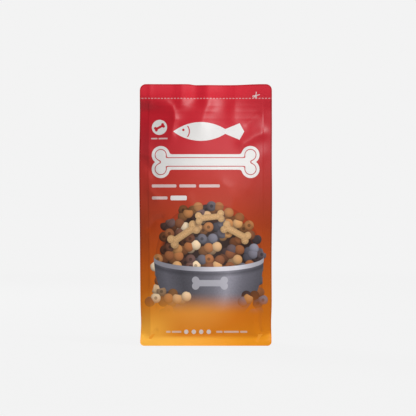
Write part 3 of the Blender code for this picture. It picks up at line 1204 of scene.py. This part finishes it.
class Print:
    """What every printed sheet of the film has: its place, its gradient with painted light and shade,
    and its inks.
    """

    # The foot band's tones, right end first; the paler left tone is painted light, which also lights
    # the lower left corner.
    FOOT_TONES = (linear(240, 152, 18), linear(255, 186, 68))
    FOOT_ACROSS, FOOT_UP = (50.0, -66.0), (10.6, 7.0)
    FOOT_ENDS, FOOT_END_RISE = (52.0, 66.0), 3.0
    # The deeper tone that the painted shade at the sides darkens towards.
    SIDE_SHADE_TONE = (0.42, 0.36, 0.36)
    # Where the painted light over the lower left corner lies, and how far it covers.
    CORNER, CORNER_COVER = ((-22.0, -56.0), (42.0, 14.0)), 0.72
    LEFT, LEFT_SHADE = ((-26.0, -58.0), (30.0, 60.0)), 0.03
    RIGHT, RIGHT_SHADE = ((24.0, 62.0), (12.0, 40.0)), 0.20
    DASH_PITCH, DASH_LONG, DASH_THICK = 3.25, 2.0, 0.85
    DASH_SOFT = 0.3
    DASH_COVER = 0.45
    EDGE_LINE = (-1.7, -0.9)
    EDGE_COVER, EDGE_FADE = 0.55, 0.35

    def __init__(self, name: str, sizes: PouchSizes) -> None:
        """Starts the material and reads the print's place in millimetres.

        Args:
            name: the material's name.
            sizes: the pouch's sizes.
        """
        self.sizes = sizes
        self.paint = Paint(name)
        where = self.paint.out(self.paint.node("ShaderNodeUVMap"))
        across, up, _ = self.paint.parts(where)
        self.u, self.v = across / MM, up / MM
        self.draw = Drawing(self.paint, self.u, self.v)

    def ground(self) -> Sock:
        """The gradient from orange at the bottom to crimson at the top, with painted light that makes
        the foot band's left end and the lower left corner paler, and painted shade that darkens the
        sides.

        Returns:
            The colour.
        """
        p, u, v = self.paint, self.u, self.v
        colour = p.ramp(v / (self.sizes.height / MM), GRADIENT)
        # Painted light: the foot band turns paler towards its left end.
        foot = p.mix(p.eased(u, *self.FOOT_ACROSS), *self.FOOT_TONES)
        foot_line = v - p.eased(abs(u), *self.FOOT_ENDS) * self.FOOT_END_RISE
        colour = p.mix(p.eased(foot_line, *self.FOOT_UP), colour, foot)
        # Painted light: a paler glow over the lower left corner.
        colour = p.mix(self.patch(*self.CORNER) * self.CORNER_COVER, colour, self.FOOT_TONES[1])
        # Painted shade: the sides, the lower right most, are darkened towards a deeper tone.
        shade = self.patch(*self.LEFT) * self.LEFT_SHADE
        shade = shade + self.patch(*self.RIGHT) * self.RIGHT_SHADE
        return p.mix(shade, colour, p.mix(1.0, colour, self.SIDE_SHADE_TONE, "MULTIPLY"))

    def patch(self, across: tuple[float, float], up: tuple[float, float]) -> Sock:
        """A soft patch, which rises from 0 to 1 over a span across and a span up."""
        return self.paint.eased(self.u, *across) * self.paint.eased(self.v, *up)

    def drawn(self) -> tuple[Sock, Sock | None]:
        """The sheet's colour, and where solid white ink lies on it."""
        return self.ground(), None

    def make(self, finish: FilmFinish) -> bpy.types.Material:
        """Draws the print and dresses the material."""
        finish.dress(self.paint, *self.drawn())
        return self.paint.material

    def printed(self, colour: Sock, form: Sock, cover: float = 1.0) -> Sock:
        """A colour with white ink over it where a form is."""
        return self.paint.mix(self.draw.inked(form) * cover, colour, WHITE_INK)

    def cut_line(self, colour: Sock) -> Sock:
        """The dashed line that shows where the pouch is cut open.

        Args:
            colour: the colour under it.

        Returns:
            The colour with the line.
        """
        p, soft = self.paint, self.DASH_SOFT
        along = p.math("WRAP", self.u, self.DASH_PITCH, 0.0) - self.DASH_PITCH / 2
        on = p.held((self.DASH_LONG / 2 - abs(along)) / soft + 0.5)
        away = abs(self.v - self.sizes.seal_start / MM)
        band = p.held((self.DASH_THICK / 2 - away) / soft + 0.5)
        return p.mix(on * band * self.DASH_COVER, colour, WHITE_INK)

    def edge_shade(self, colour: Sock) -> Sock:
        """Painted shade: a deeper colour in the thin line along the film's sides and top.

        Args:
            colour: the colour under it.

        Returns:
            The colour with the painted shade line.
        """
        p, s = self.paint, self.sizes
        half = s.width / 2 / MM
        outline = self.draw.bar(-half, half, -40.0, s.height / MM, s.top_corner / MM)
        cover = self.EDGE_COVER - self.EDGE_FADE * p.eased(self.v, 120.0, 50.0)
        near = p.eased(outline, *self.EDGE_LINE) * cover
        # Painted shade: the line takes the colour multiplied by itself, weaker near the bottom.
        return p.mix(near, colour, p.mix(1.0, colour, colour, "MULTIPLY"))

    def greeked(self, lines: tuple[tuple[float, float, float], ...], thick: float) -> Sock:
        """Distance to plain bars in the place of small print.

        Args:
            lines: left end, right end and middle height of each bar.
            thick: how high a bar is.

        Returns:
            The distance.
        """
        half, corner = thick / 2, thick * 0.3
        bars = [self.draw.bar(a, b, mid - half, mid + half, corner) for a, b, mid in lines]
        return self.draw.together(bars)


BISCUITS = (
    (0.00, linear(252, 240, 222)),
    (0.16, linear(232, 206, 170)),
    (0.32, linear(206, 150, 92)),
    (0.46, linear(170, 104, 60)),
    (0.58, linear(116, 70, 48)),
    (0.72, linear(98, 92, 100)),
    (0.86, linear(136, 134, 148)),
    (1.00, linear(176, 174, 188)),
)
BONES = ((0.3, linear(198, 142, 84)), (0.7, linear(234, 196, 146)))
SLATE = (
    (0.10, linear(50, 48, 54)),
    (0.50, linear(108, 106, 116)),
    (0.95, linear(178, 176, 188)),
)
RIM_TONES = (linear(122, 120, 130), linear(212, 210, 218))
HAZE = linear(230, 162, 58)
BETWEEN = linear(44, 26, 20)
CAST = linear(40, 24, 18)
UNDER_RIM = linear(42, 40, 46)
BOWL_BONE = linear(214, 212, 220)
IN_SHADE = (0.42, 0.40, 0.40)


@dataclass(frozen=True)
class BowlPicture:
    """A slate bowl heaped with biscuits, which fades into the gradient below it.

    Its sizes are in millimetres. A bone is its middle across, its height, how far it is turned
    in degrees, and its length. A pile, or the haze, is its middle and its half sizes, across
    and up.
    """

    draw: Drawing
    rim_x: float = 3.0
    rim_level: float = 88.0
    rim_half: float = 55.0
    rim_drop: float = 10.0
    rim_thick: float = 4.6
    bowl_deep: float = 66.0
    heap_half: float = 54.0
    heap_high: float = 56.0
    piles: tuple[tuple[float, ...], ...] = ((-37.0, 45.0, 21.0, 10.0), (47.0, 44.0, 13.0, 8.0))
    haze: tuple[float, ...] = (-20.0, 37.0, 54.0, 26.0)
    haze_cover: float = 0.45
    fade_low: float = 30.0
    fade_high: float = 54.0
    piece: float = 10.5
    round_to: float = 0.50
    uneven: float = 0.66
    ringed_above: float = 0.72
    half_print: float = 66.0
    layer_shift: float = 5.3
    bone_thick: float = 0.42
    bones: tuple[tuple[float, float, float, float], ...] = (
        (-22.0, 110.0, 34.0, 34.0), (30.0, 112.0, -28.0, 31.0), (4.0, 127.0, 6.0, 29.0),
    )

    @property
    def paint(self) -> Paint:
        """The material it is drawn in."""
        return self.draw.paint

    def heap(self, u: Sock, v: Sock) -> Sock:
        """How far inside the heap a place lies, above 0 inside."""
        up = self.paint.high(v - self.rim_level + 4.0, 0.0) / self.heap_high
        return 1.0 - (abs(u - self.rim_x) / self.heap_half) ** 2.3 - up**2.0

    def spill(self, u: Sock, v: Sock) -> Sock:
        """How far inside the piles of biscuits in front of the bowl a place lies."""
        left, right = (self.inside(u, v, *pile) for pile in self.piles)
        return self.paint.high(left, right)

    def inside(self, u: Sock, v: Sock, x: float, y: float, half: float, high: float) -> Sock:
        """How far inside an ellipse a place lies, 1 in its middle and below 0 outside."""
        return 1.0 - (abs(u - x) / half) ** 2.0 - (abs(v - y) / high) ** 2.0

    def pieces(self, shift: float, form: Callable[[Sock, Sock], Sock]) -> tuple[Sock, Sock]:
        """A layer of round biscuits, which are whole up to the layer's outline.

        Args:
            shift: moves the layer, so that another lies in its gaps.
            form: how far inside the layer a place lies.

        Returns:
            The colour, and how far the layer covers what is under it.
        """
        p, u, v, size, radius = self.paint, self.draw.u, self.draw.v, self.piece, self.round_to
        up_shift = shift * 0.6
        at = p.point((u + shift) / size, (v + up_shift) / size)
        inputs = {"Vector": at, "Scale": 1.0, "Randomness": self.uneven}
        cells = p.node("ShaderNodeTexVoronoi", {"voronoi_dimensions": "2D"}, inputs)
        gap, tone, middle = p.out(cells, 0), p.out(cells, 1), p.out(cells, 2)
        mid_u, mid_v, _ = p.parts(middle)
        at_u, at_v, _ = p.parts(at)
        pick, other, third = p.parts(tone)
        kind = p.held(pick * 0.62 + (u + self.half_print) / (2 * self.half_print) * 0.50 - 0.08)
        dome = p.math("SQRT", p.high(1.0 - (gap / radius) ** 2.0, 0.0))
        tilt = ((at_v - mid_v) * 0.8 + (at_u - mid_u) * 0.5) / radius
        crumb = p.noise(p.point(u, v), 1.2, 3.0, 0.65)
        light = (tilt * 0.42 + dome * 0.60 + 0.36) * (0.74 + crumb * 0.46) * (0.88 + other * 0.24)
        hole = p.held((gap - 0.13) / 0.05) * 0.55 + 0.45
        ring = p.math("GREATER_THAN", third, self.ringed_above)
        colour = p.shaded(p.ramp(kind, BISCUITS), light * (1.0 - ring * (1.0 - hole)))
        whole = p.math("GREATER_THAN", form(mid_u * size - shift, mid_v * size - up_shift), 0.0)
        return colour, p.eased(gap, radius, radius - 0.06) * whole

    def layered(self, ground: Sock, form: Callable[[Sock, Sock], Sock]) -> Sock:
        """Two layers of biscuits over a ground, the lower one in shade.

        Args:
            ground: what is under them.
            form: how far inside the biscuits a place lies.

        Returns:
            The picture with the biscuits.
        """
        p = self.paint
        under, under_cover = self.pieces(self.layer_shift, form)
        over, over_cover = self.pieces(0.0, form)
        shade = p.held(form(self.draw.u, self.draw.v) * 5.0 - 0.6)
        ground = p.mix(shade * p.eased(self.draw.v, 44.0, 60.0), ground, BETWEEN)
        under = p.mix(1.0, under, IN_SHADE, "MULTIPLY")
        return p.mix(over_cover, p.mix(under_cover, ground, under), over)

    def bone_piece(self, ground: Sock, at: tuple[float, float, float], size: float) -> Sock:
        """A bone-shaped biscuit over the heap.

        Args:
            ground: what is under it.
            at: its middle across, its height, and how far it is turned in degrees.
            size: its length.

        Returns:
            The picture with the biscuit.
        """
        p, thick = self.paint, size * self.bone_thick
        there = self.draw.turned(*at)
        form = there.bone(size, thick)
        crumb = p.noise(p.point(self.draw.u, self.draw.v), 1.1, 3.0, 0.6)
        sun = 0.60 + there.v / size * 0.55 + p.held(-form / (size * 0.09)) * 0.24
        tone = p.shaded(p.ramp(crumb, BONES), p.held(sun))
        cast = self.draw.turned(at[0] - 0.8, at[1] - 1.2, at[2]).bone(size, thick)
        ground = p.mix(self.draw.inked(cast - 0.6, 1.3) * 0.6, ground, CAST)
        return p.mix(self.draw.inked(form), ground, tone)

    def bowl(self, ground: Sock) -> Sock:
        """The bowl under the heap, with its rim and a bone on its side.

        Args:
            ground: what is behind it.

        Returns:
            The picture with the bowl.
        """
        p = self.paint
        u, v = self.draw.u - self.rim_x, self.draw.v - self.rim_level
        rim_u = u / self.rim_half
        front = v + self.rim_drop * p.math("SQRT", p.high(1.0 - rim_u * rim_u, 0.0))
        down = p.held(-v / self.bowl_deep)
        half = self.rim_half * p.math("SQRT", p.high(1.0 - down**2.0 * 0.86, 0.0))
        across = u / p.high(half, 1.0)
        above = p.held(0.5 - front / 0.5)
        glow = p.high(1.0 - abs(across - 0.36) * 1.05, 0.0) ** 1.5
        left = p.high(1.0 - abs(across + 0.80) * 3.2, 0.0)
        glaze = p.noise(p.point(self.draw.u, self.draw.v), 0.5, 4.0, 0.65)
        light = 0.20 + 0.55 * glow + 0.20 * left + (glaze - 0.5) * 0.16 - down * 0.06
        tone = p.ramp(p.held(light), SLATE)
        tone = p.mix(p.held(1.0 - abs(front + 7.2) / 3.4) * 0.5, tone, UNDER_RIM)
        bone = self.draw.turned(self.rim_x + 1.0, self.rim_level - 26.0, 0.0).bone(36.0, 13.0)
        tone = p.mix(self.draw.inked(bone) * 0.42, tone, BOWL_BONE)
        rim = p.held((self.rim_thick + front) / 0.4) * above
        tone = p.mix(rim, tone, p.mix(p.held(glow * 1.2 + 0.1), *RIM_TONES))
        return p.mix(p.low(p.held((half - abs(u)) / 0.3 + 0.5), above), ground, tone)

    def over(self, ground: Sock) -> Sock:
        """The picture laid over a ground colour.

        Args:
            ground: the colour.

        Returns:
            The picture.
        """
        p, u, v = self.paint, self.draw.u, self.draw.v
        haze = p.held(self.inside(u, v, *self.haze))
        ground = p.mix(haze * self.haze_cover, ground, HAZE)
        colour = self.layered(ground, self.heap)
        for x, y, turn, size in self.bones:
            colour = self.bone_piece(colour, (x, y, turn), size)
        heap = self.heap(u, v)
        edge = p.shaded(colour, p.held(heap * 1.5 + 0.72))
        colour = self.bowl(p.mix(p.held(heap * 40.0), colour, edge))
        fade = p.eased(v, self.fade_low, self.fade_high)
        return p.mix(fade, ground, self.layered(colour, self.spill))


class FrontPrint(Print):
    """The front panel's print. Places are across and up, and bars are left, right and middle."""

    SMALL = ((-53.4, -29.0, 157.9), (-26.0, -9.5, 157.9), (-6.5, 14.0, 157.9))
    LIGHT = ((-53.4, -38.0, 146.0),)
    STRONG = ((-35.0, -18.7, 146.0),)
    TAG = ((-54.3, -48.0, 205.2), (-46.8, -37.8, 205.2))
    FOOT_LEVEL = 13.8
    FOOT = ((-40.3, -36.0), (-34.5, -25.0), (10.3, 16.5), (18.0, 33.0), (34.5, 41.5))
    FOOT_DISCS, FOOT_RADIUS = (-20.0, -12.4, -4.9, 2.7), 2.2
    SMALL_THICK, STRONG_THICK, TAG_THICK, FOOT_THICK = 3.0, 4.6, 1.5, 1.9
    COVERS = (1.0, 0.95, 0.62, 0.55, 0.85)
    BADGE, BADGE_RADIUS = (-46.1, 216.5), 7.6
    BADGE_BONE, BADGE_TURN = (11.0, 5.0), 28.0
    HEADING, HEADING_SIZE = (0.1, 181.7), (107.0, 32.0)
    HEADING_INSET, HEADING_LINE = 3.4, 0.4
    FISH_LEVEL, FISH_NOSE, FISH_TAIL = 212.2, -32.2, 39.4
    FISH_HALF, FISH_HIGH = 27.5, 9.4
    GRIPS = ((47.8, 247.7), (50.0, 247.0))
    BLADES = (((48.5, 248.1), (53.6, 249.4)), ((49.9, 247.8), (50.5, 252.0)))

    def badge(self) -> Sock:
        """A disc with a bone cut out of it."""
        hole = self.draw.turned(*self.BADGE, self.BADGE_TURN).bone(*self.BADGE_BONE)
        return self.paint.high(self.draw.disc(*self.BADGE, self.BADGE_RADIUS), -hole)

    def fish(self) -> Sock:
        """A fish that faces left, in the place of the smaller heading.

        Returns:
            The distance to it.
        """
        p, draw, half, high = self.paint, self.draw, self.FISH_HALF, self.FISH_HIGH
        level, middle = self.FISH_LEVEL, self.FISH_NOSE + half
        off_level = abs(draw.v - level)
        radius = (half**2 + high**2) / (2.0 * high)
        above = draw.disc(middle, level - high + radius, radius)
        body = p.high(draw.disc(middle, level + high - radius, radius), above)
        along = draw.u - (middle + half - 8.0)
        flank = (off_level - 0.4 - along * 0.42) * 0.92
        notch = off_level * 0.55 + (draw.u - self.FISH_TAIL + 5.2) - 4.14
        fin = p.high(p.high(flank, -along), p.high(notch, off_level - high))
        eye = draw.disc(middle - 17.5, level + 1.6, 1.25)
        gill = p.high(abs(draw.disc(middle - 20.5, level, 9.0)) - 0.5, middle - 17.0 - draw.u)
        gill = p.high(gill, off_level - 5.6)
        return p.high(p.low(body, fin), -p.low(eye, gill))

    def heading(self) -> Sock:
        """A large bone with a fine line inside its outline.

        Returns:
            The distance to it.
        """
        there = self.draw.turned(*self.HEADING, 0.0)
        line = abs(there.bone(*self.HEADING_SIZE, self.HEADING_INSET)) - self.HEADING_LINE
        return self.paint.high(there.bone(*self.HEADING_SIZE), -line)

    def scissors(self) -> Sock:
        """The common cut mark at the end of the dashed line."""
        grips = [abs(self.draw.disc(x, y, 0.85)) - 0.28 for x, y in self.GRIPS]
        return self.draw.together(grips + [self.draw.rod(*ends, 0.75) for ends in self.BLADES])

    def drawn(self) -> tuple[Sock, Sock | None]:
        """Draws the whole front.

        Returns:
            The colour, and where solid white ink lies.
        """
        p, draw, level = self.paint, self.draw, self.FOOT_LEVEL
        solid = draw.together([self.heading(), self.fish(), self.badge()])
        strong = p.low(self.greeked(self.STRONG, self.STRONG_THICK), self.scissors())
        small = self.greeked(self.SMALL + self.LIGHT, self.SMALL_THICK)
        fine = p.low(small, self.greeked(self.TAG, self.TAG_THICK))
        bars = tuple((left, right, level) for left, right in self.FOOT)
        foot = self.greeked(bars, self.FOOT_THICK)
        discs = draw.together([draw.disc(x, level, self.FOOT_RADIUS) for x in self.FOOT_DISCS])
        colour = BowlPicture(draw).over(self.ground())
        for form, cover in zip((solid, strong, fine, foot, discs), self.COVERS):
            colour = self.printed(colour, form, cover)
        return self.edge_shade(self.cut_line(colour)), draw.inked(solid)


class BackPrint(Print):
    """The back panel's print: a framed block of plain bars under a bone."""

    BONE_LEVEL, BONE = 205.0, (64.0, 20.0)
    BLOCK, BLOCK_CORNER = (-46.0, 46.0, 62.0, 172.0), 5.0
    BORDER_IN, BORDER_LINE = 0.6, 0.45
    FIRST_ROW, ROW_PITCH, ROW_THICK = 70.0, 6.4, 2.2
    ROWS_MIDDLE, ROWS_HALF = 117.0, 46.5
    ROW_LEFT, ROW_HALF, ROW_SPREAD = -39.0, 31.0, 8.0
    RINGS, RING_LEVEL = (-30.0, -10.0, 10.0, 30.0), 40.0
    RING_RADIUS, RING_LINE = 5.0, 0.5
    ROWS_COVER, RINGS_COVER = 0.6, 0.85

    def rows(self) -> Sock:
        """Distance to rows of plain bars, whose right ends vary from row to row.

        Returns:
            The distance.
        """
        p, up = self.paint, self.v - self.FIRST_ROW
        row = p.math("FLOOR", up / self.ROW_PITCH)
        draws = p.node("ShaderNodeTexWhiteNoise", {"noise_dimensions": "1D"}, {"W": row})
        half = self.ROW_HALF + p.out(draws, 0) * self.ROW_SPREAD
        ends = abs(self.u - self.ROW_LEFT - half) - half
        middle = p.math("WRAP", up, self.ROW_PITCH, 0.0) - self.ROW_PITCH / 2
        near = abs(middle) - self.ROW_THICK / 2
        return p.high(p.high(abs(self.v - self.ROWS_MIDDLE) - self.ROWS_HALF, near), ends)

    def drawn(self) -> tuple[Sock, Sock | None]:
        """Draws the whole back.

        Returns:
            The colour, and no solid ink.
        """
        draw = self.draw
        bone = draw.turned(0.0, self.BONE_LEVEL, 0.0).bone(*self.BONE)
        border = abs(draw.bar(*self.BLOCK, self.BLOCK_CORNER) + self.BORDER_IN) - self.BORDER_LINE
        discs = [draw.disc(x, self.RING_LEVEL, self.RING_RADIUS) for x in self.RINGS]
        rings = abs(draw.together(discs)) - self.RING_LINE
        colour = self.printed(self.ground(), draw.together([bone, border]))
        colour = self.printed(colour, self.rows(), self.ROWS_COVER)
        colour = self.printed(colour, rings, self.RINGS_COVER)
        return self.edge_shade(self.cut_line(colour)), None


class GussetPrint(Print):
    """The side gussets' print: a gradient with a bone and plain bars."""

    BONE_LEVEL, BONE = 120.0, (44.0, 15.0)
    BARS = ((84.0, 12.0), (78.0, 9.0), (72.0, 11.0), (66.0, 7.0))
    BAR_THICK, BAR_CORNER, BARS_COVER = 2.2, 0.7, 0.6

    def drawn(self) -> tuple[Sock, Sock | None]:
        """Draws a whole side.

        Returns:
            The colour, and no solid ink.
        """
        bars = [
            self.draw.bar(-half, half, level, level + self.BAR_THICK, self.BAR_CORNER)
            for level, half in self.BARS
        ]
        bone = self.draw.turned(0.0, self.BONE_LEVEL, 90.0).bone(*self.BONE)
        colour = self.printed(self.ground(), bone)
        return self.printed(colour, self.draw.together(bars), self.BARS_COVER), None


class PlainPrint(Print):
    """The base film and the cut edges, which carry no print but the ground colour."""

    WEAR_SCALE, WEAR = 90.0, 0.1

    def __init__(self, name: str, sizes: PouchSizes, deeper: float) -> None:
        """Keeps how much deeper the colour is than on the panels."""
        super().__init__(name, sizes)
        self.deeper = deeper

    def drawn(self) -> tuple[Sock, Sock | None]:
        """The ground colour, made deeper and a little uneven.

        Returns:
            The colour, and no solid ink.
        """
        p, ground = self.paint, self.ground()
        at = p.out(p.node("ShaderNodeTexCoord"), "Object")
        worn = (p.noise(at, self.WEAR_SCALE, 3.0, 0.6) - 0.5) * self.WEAR
        deep = p.mix(1.0, ground, ground, "MULTIPLY")
        return p.mix(p.held(self.deeper + worn), ground, deep), None


@dataclass(frozen=True)
class Lamp:
    """A soft rectangular light that points at a place on the pouch."""

    name: str
    at: tuple[float, float, float]
    size: tuple[float, float]
    power: float
    aim: tuple[float, float, float] = (0.0, 0.0, 0.14)
    roll: float = 0.0

    def make(self) -> bpy.types.Object:
        """Adds the lamp to the scene.

        Returns:
            The lamp.
        """
        data = bpy.data.lights.new(self.name, "AREA")
        data.shape = "RECTANGLE"
        data.size, data.size_y = self.size
        data.energy = self.power
        lamp = bpy.data.objects.new(self.name, data)
        lamp.location = self.at
        towards = Vector(self.aim) - Vector(self.at)
        turn = towards.to_track_quat("-Z", "Y").to_matrix()
        lamp.rotation_euler = (turn @ Matrix.Rotation(math.radians(self.roll), 3, "Z")).to_euler()
        lamp.visible_camera = False
        bpy.context.scene.collection.objects.link(lamp)
        return lamp


@dataclass(frozen=True)
class Studio:
    """The plain pale studio: camera, lamps, floor and surroundings.

    The photograph is taken as 416 pixels square, with one pixel to the millimetre in the
    plane through the pouch's middle.
    """

    picture: int = 416
    camera_distance: float = 2.5
    camera_across: float = 0.00215
    camera_height: float = 0.1361
    camera_clip: tuple[float, float] = (0.05, 50.0)
    sensor: float = 36.0
    pale: float = 0.896
    ambient: float = 0.14
    floor_half: float = 30.0
    floor_grey: float = 0.5
    floor_rough: float = 0.9
    floor_shadow: float = 0.035
    floor_glow: tuple[float, float] = (0.9015, 0.9265)
    floor_far: tuple[float, float] = (1.3, 3.4)
    lamps: tuple[Lamp, ...] = (
        Lamp("key", (0.83, -1.10, 1.95), (0.35, 0.35), 45.0),
        Lamp("front", (0.012, -0.112, 0.13), (0.03, 0.32), 0.058, (0.008, 0.0, 0.13), -9.0),
        Lamp("back", (-0.7, 1.6, 1.2), (0.6, 0.6), 42.0),
    )

    def camera(self) -> None:
        """Adds the camera, level and square to the front."""
        data = bpy.data.cameras.new("camera")
        data.sensor_width = self.sensor
        data.lens = self.sensor * self.camera_distance / (self.picture * MM)
        data.clip_start, data.clip_end = self.camera_clip
        camera = bpy.data.objects.new("camera", data)
        camera.location = (self.camera_across, -self.camera_distance, self.camera_height)
        camera.rotation_euler = (math.pi / 2, 0.0, 0.0)
        bpy.context.scene.collection.objects.link(camera)
        bpy.context.scene.camera = camera

    def surroundings(self) -> None:
        """A grey room to the film, and the pale backdrop to the camera."""
        world = bpy.data.worlds.new("studio")
        world.use_nodes = True
        tree = world.node_tree
        path = tree.nodes.new("ShaderNodeLightPath")
        mixed = tree.nodes.new("ShaderNodeMix")
        mixed.data_type = "FLOAT"
        mixed.inputs[2].default_value = self.ambient
        mixed.inputs[3].default_value = self.pale
        ground = tree.nodes["Background"]
        ground.inputs["Color"].default_value = (1.0, 1.0, 1.0, 1.0)
        tree.links.new(path.outputs["Is Camera Ray"], mixed.inputs[0])
        tree.links.new(mixed.outputs[0], ground.inputs["Strength"])
        bpy.context.scene.world = world

    def floor(self) -> bpy.types.Object:
        """Adds the floor, which looks as pale as the backdrop but keeps a soft shadow.

        Returns:
            The floor.
        """
        mesh = bmesh.new()
        bmesh.ops.create_grid(mesh, x_segments=1, y_segments=1, size=self.floor_half)
        data = bpy.data.meshes.new("floor")
        mesh.to_mesh(data)
        mesh.free()
        floor = bpy.data.objects.new("floor", data)
        bpy.context.scene.collection.objects.link(floor)
        paint = Paint("pale_floor")
        shader = paint.shader
        paint.feed(shader.inputs["Base Color"], (self.floor_grey,) * 3)
        paint.feed(shader.inputs["Roughness"], self.floor_rough)
        at = paint.out(paint.node("ShaderNodeTexCoord"), "Object")
        away = paint.out(paint.node("ShaderNodeVectorMath", {"operation": "LENGTH"}, {0: at}), 1)
        near, far = self.floor_glow
        level = near + paint.eased(away, *self.floor_far) * (far - near)
        glow = paint.node("ShaderNodeEmission", {}, {"Color": paint.point(level, level, level)})
        path = paint.out(paint.node("ShaderNodeLightPath"), "Is Camera Ray")
        inputs = {0: path * (1.0 - self.floor_shadow), 1: paint.out(shader), 2: paint.out(glow)}
        both = paint.node("ShaderNodeMixShader", {}, inputs)
        paint.feed(paint.tree.nodes["Material Output"].inputs["Surface"], paint.out(both))
        data.materials.append(paint.material)
        return floor

    def make(self) -> None:
        """Sets the studio up."""
        self.camera()
        self.surroundings()
        for lamp in self.lamps:
            lamp.make()
        self.floor()
        bpy.context.scene.view_settings.view_transform = "Standard"


@dataclass
class Pouch:
    """The whole pouch: its skin, dressed with the film's finishes."""

    sizes: PouchSizes
    finish: FilmFinish = FilmFinish()
    fill: float = 0.8
    base_deeper: float = 0.2
    edge_deeper: float = 0.6

    def make(self) -> bpy.types.Object:
        """Builds and dresses the pouch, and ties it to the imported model.

        Returns:
            The finished piece.
        """
        skin = PouchSkin(PouchShape(self.sizes)).build()
        prints = (
            FrontPrint("film_front", self.sizes),
            BackPrint("film_back", self.sizes),
            GussetPrint("film_gusset", self.sizes),
            PlainPrint("film_base", self.sizes, self.base_deeper),
            PlainPrint("film_cut_edge", self.sizes, self.edge_deeper),
        )
        for sheet_print in prints:
            skin.data.materials.append(sheet_print.make(self.finish))
        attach(skin, "root")
        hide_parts(NODE)
        return skin


def main() -> None:
    """Builds the studio and the pouch, and logs the skin's faces, open edges and finishes."""
    logging.basicConfig(level=logging.INFO, format="%(name)s: %(message)s")
    Studio().make()
    skin = Pouch(PouchSizes.from_frame()).make()
    log.info("%s is dressed with %d finishes", skin.name, len(skin.data.materials))


if __name__ == "__main__":
    main()
